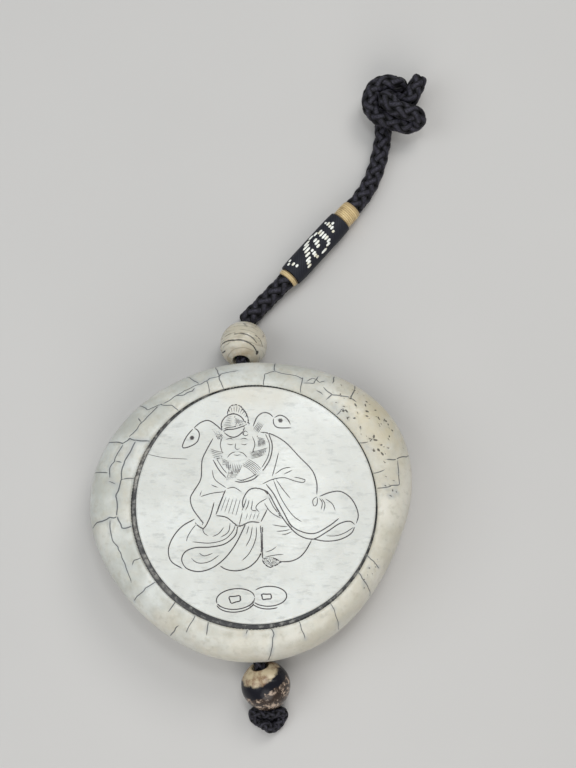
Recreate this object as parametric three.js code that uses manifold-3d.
// Manju netsuke: a thick bone pebble with an engraved disc let into its face, on a cord between two beads.
// Millimetres, +Z up. The body's underside lies on z = 0 with the middle of its outline at the origin.
import * as THREE from "three";
import { mergeVertices } from "three/addons/utils/BufferGeometryUtils.js";
import Module from "manifold-3d";

const wasm = await Module();
wasm.setup();

// Body outline: a mean radius and a few slow waves round it
const BODY_RADIUS = 23.66;
const OUTLINE_WAVES = [
  { lobes: 1, rise: 0.76, towards: 74 },
  { lobes: 2, rise: 0.89, towards: 20 },
  { lobes: 3, rise: 0.84, towards: 37 },
  { lobes: 4, rise: 0.2, towards: 20 },
  { lobes: 5, rise: 0.14, towards: 30 },
];
const BODY_SEGMENTS = 60;

// Body section: flat underside, widest at the belly, crown rounding in to the lip of the recess
const BELLY_HEIGHT = 6.2;
const LIP_HEIGHT = 12.3;
const BASE_INSET = 6.5;
const LIP_ROUND = 0.35;
const SIDE_STEPS = 5;
const CROWN_STEPS = 6;
const CROWN_FULLNESS = 0.86;

// Engraved disc and the recess it sits in, which is wider on one side
const DISC_RADIUS = 18;
const DISC_AT = { x: 0.81, y: 0.22 };
const DISC_RISE = 1.25;
const DISC_EDGE_ROUND = 0.3;
const DISC_RINGS = 5;
const DISC_SEGMENTS = 60;
const RECESS_FLOOR = 9.2;
const BOND_GAP = 0.1;
const RECESS_GAP = 0.12;
const RECESS_SHIFT = 0.38;
const RECESS_SHIFT_TOWARDS = 228;

// Engraved lines
const LINE_WIDTH = 0.36;
const LINE_DEPTH = 0.2;
const LINE_LIFT = 0.15;
const LINE_STEP = 1.5;
const LINE_LEAST_STEPS = 3;

// Beads, tilted so that the cord leaves the body level and comes down to the table
const BEAD_RADIUS = 3.72;
const BEAD_BORE = 1.25;
const BEAD_SEGMENTS = 24;
const BEAD_STEPS = 10;
const UPPER_BEAD = { at: new THREE.Vector3(-1.4, 26.9, 3.76), pitch: 26, yaw: -5.5 };
const LOWER_BEAD = { at: new THREE.Vector3(2.28, -26.25, 3.76), pitch: -31, yaw: 17 };

// Cords
const INNER_CORD_RADIUS = 0.95;
const BODY_BORE = 1.35;
const BORE_LOWER = new THREE.Vector3(1.15, -22.4, 6.1);
const BORE_UPPER = new THREE.Vector3(-1.6, 22.4, 5.85);
const BORE_OVERRUN = 2.5;
const CORD_IN_LOWER_BEAD = [-2.9, 0, 1.5, 3.0];
const CORD_IN_BODY = [0.01, 0.25, 0.5, 0.75, 1];
const CORD_IN_UPPER_BEAD = [-2.6, 0, 3.3];
const INNER_CORD_STEPS = 36;
const BRAID_RADIUS = 1.48;
const BRAID_STEPS = 36;
const CORD_SIDES = 8;
const BRAID_ROUTE = [
  [-1.55, 31.15, 1.55],
  [-0.2, 32.3, 1.52],
  [2.2, 34.8, 1.6],
  [4.1, 36.75, 1.9],
  [5.41, 38.07, 2.12],
  [10.75, 44.12, 2.12],
  [16.1, 50.18, 2.12],
  [17.55, 52.05, 1.85],
  [19.1, 54.75, 1.6],
  [20.3, 58.0, 1.52],
  [20.95, 60.9, 1.55],
];

// Sleeve and whippings, threaded on the straight stretch of the braid
const SLEEVE_START = new THREE.Vector3(5.41, 38.07, 2.12);
const SLEEVE_END = new THREE.Vector3(16.1, 50.18, 2.12);
const SLEEVE_BORE = 1.53;
const SLEEVE_RADIUS = 1.98;
const SLEEVE_END_RADIUS = 1.88;
const WHIPPING_RADIUS = 1.74;
const WHIPPING_END_RADIUS = 1.64;
const LOWER_WHIPPING_LENGTH = 0.9;
const UPPER_WHIPPING_LENGTH = 2.9;
const TRIM_GAP = 0.12;
const COLLAR_SHOULDER = 0.3;
const COLLAR_SEGMENTS = 20;

// Knots: one strand each, led by hand through its turns without touching itself
const END_KNOT_AT = new THREE.Vector3(22.5, 66.9, 0);
const END_KNOT_STRAND = 1.16;
const END_KNOT_STEPS = 58;
const END_KNOT_ROUTE = [
  [-1.46, -5.6, 1.6],
  [-1.2, -3.9, 1.5],
  [-1.25, -2.3, 1.4],
  [-1.2, -0.6, 1.25],
  [-0.75, 1.1, 1.2],
  [0.3, 2.5, 1.4],
  [1.45, 3.3, 2.4],
  [1.45, 3.85, 3.7],
  [0.8, 3.8, 4.6],
  [-0.4, 3.9, 4.9],
  [-1.8, 3.7, 4.8],
  [-2.9, 2.8, 4.5],
  [-3.4, 1.5, 4.3],
  [-3.4, 0.2, 4.2],
  [-2.9, -0.9, 4.2],
  [-1.9, -1.9, 4.4],
  [-0.4, -2.5, 4.6],
  [0.7, -2.9, 4.5],
  [1.9, -3.2, 4.3],
  [3.2, -3.1, 4.1],
  [4.1, -2.7, 4.5],
  [4.2, -2.2, 5.4],
  [3.4, -1.9, 6.1],
  [1.8, -1.6, 6.5],
  [0.5, -1.1, 6.6],
  [-0.35, -0.2, 6.5],
  [-0.8, 0.7, 5.9],
  [-0.75, 1.35, 4.9],
  [-0.25, 1.5, 4.1],
  [0.8, 1.35, 3.75],
  [1.9, 0.95, 4.1],
  [3.0, 1.2, 4.6],
  [3.85, 2.8, 4.85],
  [4.75, 5.0, 4.7],
];
const STOPPER_AT = new THREE.Vector3(2.4, -31.0, 0);
const STOPPER_STRAND = 0.66;
const STOPPER_STEPS = 38;
const STOPPER_ROUTE = [
  [0.9, 0.95, 0.85],
  [0.6, 0.1, 0.75],
  [0.0, -0.65, 0.72],
  [-0.9, -0.7, 0.75],
  [-1.7, -0.2, 0.9],
  [-2.05, 0.5, 1.25],
  [-1.9, 0.9, 1.75],
  [-1.2, 0.8, 2.05],
  [0.0, 0.55, 2.15],
  [1.1, 0.6, 2.25],
  [2.1, 0.95, 1.95],
  [2.5, 0.5, 1.2],
  [2.0, -0.5, 0.95],
  [1.2, -1.35, 1.1],
  [0.4, -1.5, 1.85],
  [-0.35, -1.0, 2.3],
  [-1.0, -1.25, 2.15],
];

// Broad lines of the engraving, in millimetres from the middle of the picture, which sits just off the disc's
const PICTURE_AT = { x: -0.07, y: -0.3 };
const ENGRAVED_LINES = [
  // left shoulder, arm and hanging sleeve
  [[-5.6, 10.2], [-7.2, 9.0], [-8.0, 6.6], [-8.4, 3.6], [-9.5, 1.4], [-9.3, -0.9], [-7.3, -3.5]],
  // right shoulder and elbow
  [[1.9, 10.9], [3.6, 10.4], [6.2, 8.1], [8.6, 5.1], [9.2, 2.4], [9.0, 0.7]],
  // collar
  [[-6.1, 6.8], [-4.8, 4.8], [-2.8, 3.7], [-0.6, 3.9], [1.4, 5.5], [2.5, 8.6]],
  // right knee of the robe
  [[9.7, 1.3], [12.4, 2.0], [14.7, 0.7], [15.5, -1.3], [14.7, -3.1]],
  // long hem of the right sleeve
  [[14.1, -2.8], [11.8, -3.3], [9.4, -4.8], [7.0, -5.0], [4.9, -3.4], [3.1, -0.3], [1.6, 2.9]],
  // lower edge of the right knee
  [[8.4, -5.5], [11.1, -5.7], [13.6, -4.9], [15.0, -3.6]],
  // right shin
  [[8.0, -6.1], [6.8, -7.8], [4.5, -8.5], [1.7, -7.9]],
  // left knee of the robe
  [[-8.2, -3.9], [-11.6, -4.2], [-13.0, -6.7], [-12.2, -8.9], [-10.6, -9.6]],
  // loop of the left skirt
  [[-2.4, -4.6], [-5.5, -6.2], [-9.2, -6.6], [-10.4, -8.0]],
  [[-9.9, -9.4], [-8.1, -9.9], [-5.5, -8.9], [-3.0, -6.3], [-1.6, -3.9]],
  // middle of the skirt
  [[0.7, -3.4], [0.9, -7.0], [-1.2, -9.5], [-3.5, -9.9], [-5.2, -9.3]],
  // open book
  [[-4.2, 2.6], [-5.2, 0.6], [-6.1, -1.5]],
  [[-5.7, -1.7], [-4.2, -1.8], [-2.4, -3.1]],
  [[-2.0, -3.1], [-0.9, -2.6], [0.9, -2.8], [2.0, -0.6]],
  // hat and its brim
  [[-5.1, 11.3], [-4.9, 13.3], [-3.1, 14.1], [-1.4, 13.2], [-1.1, 11.4]],
  [[-4.7, 11.1], [-3.0, 10.7], [-1.5, 11.1]],
  // ribbons and lappets of the hat
  [[-5.6, 11.9], [-6.9, 12.8], [-8.5, 12.1], [-10.3, 10.3], [-10.9, 8.6]],
  [[-0.5, 11.9], [1.1, 13.8], [2.6, 13.5], [4.4, 13.6], [5.1, 12.0]],
  // beard
  [[-5.4, 8.6], [-5.2, 6.4], [-3.7, 5.2], [-2.2, 6.3], [-1.5, 8.4]],
];
const COINS = [
  { x: -2.85, y: -14.0, across: 2.85, deep: 1.5, hole: 0.75, from: 0, to: 360, whole: true },
  { x: 2.05, y: -13.65, across: 2.65, deep: 1.45, hole: 0.65, from: -150, to: 140, whole: false },
];
const COIN_POINTS = 12;
const COIN_SLANT = 0.6;
const COIN_HOLE_TAPER = 0.7;

// Colours read from the photo
const RING_BONE = { color: 0xd8d0bd, roughness: 0.45, metalness: 0 };
const DISC_BONE = { color: 0xdedcd4, roughness: 0.3, metalness: 0 };
const BEAD_BONE = { color: 0xd2c8b4, roughness: 0.4, metalness: 0 };
const BEAD_TAN = { color: 0x9c7f58, roughness: 0.35, metalness: 0 };
const BLACK_CORD = { color: 0x17181c, roughness: 0.8, metalness: 0 };
const BROCADE = { color: 0x3a3530, roughness: 0.6, metalness: 0.2 };
const THREAD = { color: 0xb39a6c, roughness: 0.8, metalness: 0 };

const WELD = 1e-4;
const RIGHT = new THREE.Vector3(1, 0, 0);
const ALONG = new THREE.Vector3(0, 1, 0);
const UP = new THREE.Vector3(0, 0, 1);
const radians = THREE.MathUtils.degToRad;

function outlineRadius(angle) {
  return OUTLINE_WAVES.reduce(
    (radius, wave) => radius + wave.rise * Math.cos(wave.lobes * (angle - radians(wave.towards))),
    BODY_RADIUS,
  );
}

// Outline of the body, moved so that its box is centred on the origin
function bodyOutline() {
  const points = [];
  for (let i = 0; i < BODY_SEGMENTS; i++) {
    const angle = (2 * Math.PI * i) / BODY_SEGMENTS;
    points.push(new THREE.Vector3(Math.cos(angle), Math.sin(angle), 0).multiplyScalar(outlineRadius(angle)));
  }
  const middle = new THREE.Box3().setFromPoints(points).getCenter(new THREE.Vector3());
  return points.map((point) => point.sub(middle));
}

function circle(at, radius, height) {
  const points = [];
  for (let i = 0; i < BODY_SEGMENTS; i++) {
    const angle = (2 * Math.PI * i) / BODY_SEGMENTS;
    points.push(new THREE.Vector3(at.x + radius * Math.cos(angle), at.y + radius * Math.sin(angle), height));
  }
  return points;
}

// Closed skin through loops of equal length: a ring joins its last loop to its first,
// and otherwise each end is closed by a fan about its own middle
function skinLoops(loops, ring = false) {
  const around = loops[0].length;
  const points = loops.flat();
  const faces = [];
  for (let j = 0; j < (ring ? loops.length : loops.length - 1); j++) {
    const below = j * around;
    const above = ((j + 1) % loops.length) * around;
    for (let i = 0; i < around; i++) {
      const next = (i + 1) % around;
      faces.push(below + i, below + next, above + next, below + i, above + next, above + i);
    }
  }
  if (!ring) {
    const last = (loops.length - 1) * around;
    const bottom = points.length;
    points.push(middleOf(loops[0]), middleOf(loops[loops.length - 1]));
    for (let i = 0; i < around; i++) {
      const next = (i + 1) % around;
      faces.push(bottom, next, i, bottom + 1, last + i, last + next);
    }
  }
  const geometry = new THREE.BufferGeometry().setFromPoints(points);
  geometry.setIndex(faces);
  return geometry;
}

function middleOf(points) {
  return new THREE.Box3().setFromPoints(points).getCenter(new THREE.Vector3());
}

function toSolid(geometry) {
  const bare = geometry.clone();
  bare.deleteAttribute("normal");
  bare.deleteAttribute("uv");
  const merged = mergeVertices(bare, WELD);
  const mesh = new wasm.Mesh({
    numProp: 3,
    vertProperties: new Float32Array(merged.attributes.position.array),
    triVerts: new Uint32Array(merged.index.array),
  });
  return new wasm.Manifold(mesh);
}

function toGeometry(solid) {
  const mesh = solid.getMesh();
  const geometry = new THREE.BufferGeometry();
  geometry.setAttribute("position", new THREE.BufferAttribute(new Float32Array(mesh.vertProperties), 3));
  geometry.setIndex(new THREE.BufferAttribute(new Uint32Array(mesh.triVerts), 1));
  geometry.computeVertexNormals();
  return geometry;
}

function toPoints(list) {
  return list.map((values) => new THREE.Vector3(...values));
}

// Round tube of one radius along a smooth route
function tube(route, radius, steps) {
  const shape = new THREE.Shape();
  for (let i = 0; i < CORD_SIDES; i++) {
    const angle = (2 * Math.PI * (i + 0.5)) / CORD_SIDES;
    const x = radius * Math.cos(angle);
    const y = radius * Math.sin(angle);
    if (i === 0) shape.moveTo(x, y);
    else shape.lineTo(x, y);
  }
  shape.closePath();
  const path = new THREE.CatmullRomCurve3(route, false, "centripetal");
  return new THREE.ExtrudeGeometry(shape, { steps, bevelEnabled: false, extrudePath: path });
}

// Underside, side, crown, lip and recess as one run of loops
function makeBody() {
  const outline = bodyOutline();
  const shift = radians(RECESS_SHIFT_TOWARDS);
  const recessAt = {
    x: DISC_AT.x + RECESS_SHIFT * Math.cos(shift),
    y: DISC_AT.y + RECESS_SHIFT * Math.sin(shift),
  };
  const recessRadius = DISC_RADIUS + RECESS_GAP + RECESS_SHIFT;
  const lip = circle(recessAt, recessRadius + LIP_ROUND, LIP_HEIGHT);
  const loops = [];
  for (let j = 0; j < SIDE_STEPS; j++) {
    const turn = (Math.PI / 2) * (j / SIDE_STEPS);
    const inset = BASE_INSET * (1 - Math.sin(turn));
    const height = BELLY_HEIGHT * (1 - Math.cos(turn));
    loops.push(outline.map((p) => p.clone().setLength(p.length() - inset).setZ(height)));
  }
  for (let j = 0; j < CROWN_STEPS; j++) {
    const turn = (Math.PI / 2) * (j / CROWN_STEPS);
    const out = Math.pow(Math.cos(turn), CROWN_FULLNESS);
    const height = BELLY_HEIGHT + (LIP_HEIGHT - BELLY_HEIGHT) * Math.pow(Math.sin(turn), CROWN_FULLNESS);
    loops.push(outline.map((p, i) => lip[i].clone().lerp(p, out).setZ(height)));
  }
  loops.push(lip);
  loops.push(circle(recessAt, recessRadius, LIP_HEIGHT - LIP_ROUND));
  loops.push(circle(recessAt, recessRadius, RECESS_FLOOR));
  const along = BORE_UPPER.clone().sub(BORE_LOWER).setLength(BORE_OVERRUN);
  const bore = tube([BORE_LOWER.clone().sub(along), BORE_UPPER.clone().add(along)], BODY_BORE, 1);
  return toGeometry(toSolid(skinLoops(loops)).subtract(toSolid(bore)));
}

function domeHeight(x, y) {
  return LIP_HEIGHT + DISC_RISE * (1 - (x * x + y * y) / (DISC_RADIUS * DISC_RADIUS));
}

// Closed V-shaped wedge along a line drawn on the dome
function lineWedge(line, ring = false) {
  const flat = line.map(([x, y]) => new THREE.Vector3(x + PICTURE_AT.x, y + PICTURE_AT.y, 0));
  const path = new THREE.CatmullRomCurve3(flat, ring, "centripetal");
  const steps = Math.max(LINE_LEAST_STEPS, Math.round(path.getLength() / LINE_STEP));
  const half = (LINE_WIDTH / 2) * ((LINE_DEPTH + LINE_LIFT) / LINE_DEPTH);
  const loops = [];
  for (let k = 0; k < (ring ? steps : steps + 1); k++) {
    const at = path.getPointAt(k / steps);
    const side = path.getTangentAt(k / steps).cross(UP).setLength(half);
    const height = domeHeight(at.x, at.y);
    loops.push([
      at.clone().setZ(height - LINE_DEPTH),
      at.clone().sub(side).setZ(height + LINE_LIFT),
      at.clone().add(side).setZ(height + LINE_LIFT),
    ]);
  }
  return skinLoops(loops, ring);
}

// Coin seen aslant: its rim, whole or with the part behind its neighbour left out, and a square hole
function coinRim(coin) {
  const points = [];
  const spaces = coin.whole ? COIN_POINTS : COIN_POINTS - 1;
  for (let k = 0; k < COIN_POINTS; k++) {
    const angle = radians(coin.from + ((coin.to - coin.from) * k) / spaces);
    points.push([coin.x + coin.across * Math.cos(angle), coin.y + coin.deep * Math.sin(angle)]);
  }
  return lineWedge(points, coin.whole);
}

function coinHole(coin) {
  const at = { x: coin.x + PICTURE_AT.x, y: coin.y + PICTURE_AT.y };
  const height = domeHeight(at.x, at.y);
  const square = (half, z) => [[1, 1], [-1, 1], [-1, -1], [1, -1]].map(
    ([x, y]) => new THREE.Vector3(at.x + x * half, at.y + y * half * COIN_SLANT, z),
  );
  const floor = square(coin.hole * COIN_HOLE_TAPER, height - LINE_DEPTH);
  return skinLoops([floor, square(coin.hole, height + LINE_LIFT)]);
}

// Domed disc with the broad lines cut into it
function makeDisc() {
  const profile = [new THREE.Vector2(0, RECESS_FLOOR + BOND_GAP)];
  profile.push(new THREE.Vector2(DISC_RADIUS, RECESS_FLOOR + BOND_GAP));
  profile.push(new THREE.Vector2(DISC_RADIUS, LIP_HEIGHT - DISC_EDGE_ROUND));
  const inner = DISC_RADIUS - DISC_EDGE_ROUND;
  for (let k = DISC_RINGS; k > 0; k--) {
    const radius = (inner * k) / DISC_RINGS;
    profile.push(new THREE.Vector2(radius, domeHeight(radius, 0)));
  }
  profile.push(new THREE.Vector2(0, domeHeight(0, 0)));
  const blank = new THREE.LatheGeometry(profile, DISC_SEGMENTS).rotateX(Math.PI / 2);
  const lines = ENGRAVED_LINES.map((line) => lineWedge(line));
  const cuts = [...lines, ...COINS.map(coinRim), ...COINS.map(coinHole)].map(toSolid);
  const disc = toSolid(blank).subtract(wasm.Manifold.union(cuts));
  return toGeometry(disc).translate(DISC_AT.x, DISC_AT.y, 0);
}

// Bored ball turned about its own axis, then tilted and put in place
function makeBead(bead) {
  const open = Math.asin(BEAD_BORE / BEAD_RADIUS);
  const profile = [];
  for (let k = 0; k <= BEAD_STEPS; k++) {
    const angle = open + ((Math.PI - 2 * open) * k) / BEAD_STEPS;
    profile.push(new THREE.Vector2(BEAD_RADIUS * Math.sin(angle), -BEAD_RADIUS * Math.cos(angle)));
  }
  profile.push(profile[0].clone());
  const ball = new THREE.LatheGeometry(profile, BEAD_SEGMENTS);
  ball.rotateX(radians(-bead.pitch)).rotateZ(radians(bead.yaw));
  return ball.translate(bead.at.x, bead.at.y, bead.at.z);
}

// Point on a bead's axis, counted from its middle towards the upper end of the cord
function onBeadAxis(bead, along) {
  const axis = ALONG.clone().applyAxisAngle(RIGHT, radians(-bead.pitch)).applyAxisAngle(UP, radians(bead.yaw));
  return bead.at.clone().addScaledVector(axis, along);
}

// Thin cord held all the way: lower bead, body, upper bead
function makeInnerCord() {
  const route = [
    ...CORD_IN_LOWER_BEAD.map((along) => onBeadAxis(LOWER_BEAD, along)),
    ...CORD_IN_BODY.map((share) => BORE_LOWER.clone().lerp(BORE_UPPER, share)),
    ...CORD_IN_UPPER_BEAD.map((along) => onBeadAxis(UPPER_BEAD, along)),
  ];
  return tube(route, INNER_CORD_RADIUS, INNER_CORD_STEPS);
}

// Collar round the straight stretch of the braid, from one length along it to another
function makeCollar(from, to, endRadius, middleRadius, bore) {
  const along = SLEEVE_END.clone().sub(SLEEVE_START).normalize();
  const shoulder = (to - from) * COLLAR_SHOULDER;
  const profile = [
    new THREE.Vector2(bore, from),
    new THREE.Vector2(endRadius, from),
    new THREE.Vector2(middleRadius, from + shoulder),
    new THREE.Vector2(middleRadius, to - shoulder),
    new THREE.Vector2(endRadius, to),
    new THREE.Vector2(bore, to),
    new THREE.Vector2(bore, from),
  ];
  const collar = new THREE.LatheGeometry(profile, COLLAR_SEGMENTS);
  collar.applyQuaternion(new THREE.Quaternion().setFromUnitVectors(ALONG, along));
  return collar.translate(SLEEVE_START.x, SLEEVE_START.y, SLEEVE_START.z);
}

// A knot is one strand along its own route, moved to its place
function makeKnot(at, route, radius, steps) {
  return tube(toPoints(route).map((point) => point.add(at)), radius, steps);
}

function addPart(group, name, geometry, look) {
  const mesh = new THREE.Mesh(geometry, new THREE.MeshStandardMaterial(look));
  mesh.name = name;
  group.add(mesh);
}

const sleeveLength = SLEEVE_START.distanceTo(SLEEVE_END);
const sleeveFrom = LOWER_WHIPPING_LENGTH + TRIM_GAP;
const sleeveTo = sleeveLength - UPPER_WHIPPING_LENGTH - TRIM_GAP;
const whippingRadii = [WHIPPING_END_RADIUS, WHIPPING_RADIUS, SLEEVE_BORE];
const lowerWhipping = makeCollar(0, LOWER_WHIPPING_LENGTH, ...whippingRadii);
const sleeve = makeCollar(sleeveFrom, sleeveTo, SLEEVE_END_RADIUS, SLEEVE_RADIUS, SLEEVE_BORE);
const upperWhipping = makeCollar(sleeveTo + TRIM_GAP, sleeveLength, ...whippingRadii);
const braid = tube(toPoints(BRAID_ROUTE), BRAID_RADIUS, BRAID_STEPS);
const endKnot = makeKnot(END_KNOT_AT, END_KNOT_ROUTE, END_KNOT_STRAND, END_KNOT_STEPS);
const stopperKnot = makeKnot(STOPPER_AT, STOPPER_ROUTE, STOPPER_STRAND, STOPPER_STEPS);

const netsuke = new THREE.Group();
netsuke.name = "manju_netsuke";
addPart(netsuke, "bone_body", makeBody(), RING_BONE);
addPart(netsuke, "engraved_disc", makeDisc(), DISC_BONE);
addPart(netsuke, "upper_bead", makeBead(UPPER_BEAD), BEAD_BONE);
addPart(netsuke, "lower_bead", makeBead(LOWER_BEAD), BEAD_TAN);
addPart(netsuke, "inner_cord", makeInnerCord(), BLACK_CORD);
addPart(netsuke, "braided_cord", braid, BLACK_CORD);
addPart(netsuke, "brocade_sleeve", sleeve, BROCADE);
addPart(netsuke, "lower_whipping", lowerWhipping, THREAD);
addPart(netsuke, "upper_whipping", upperWhipping, THREAD);
addPart(netsuke, "end_knot", endKnot, BLACK_CORD);
addPart(netsuke, "stopper_knot", stopperKnot, BLACK_CORD);

export default netsuke;
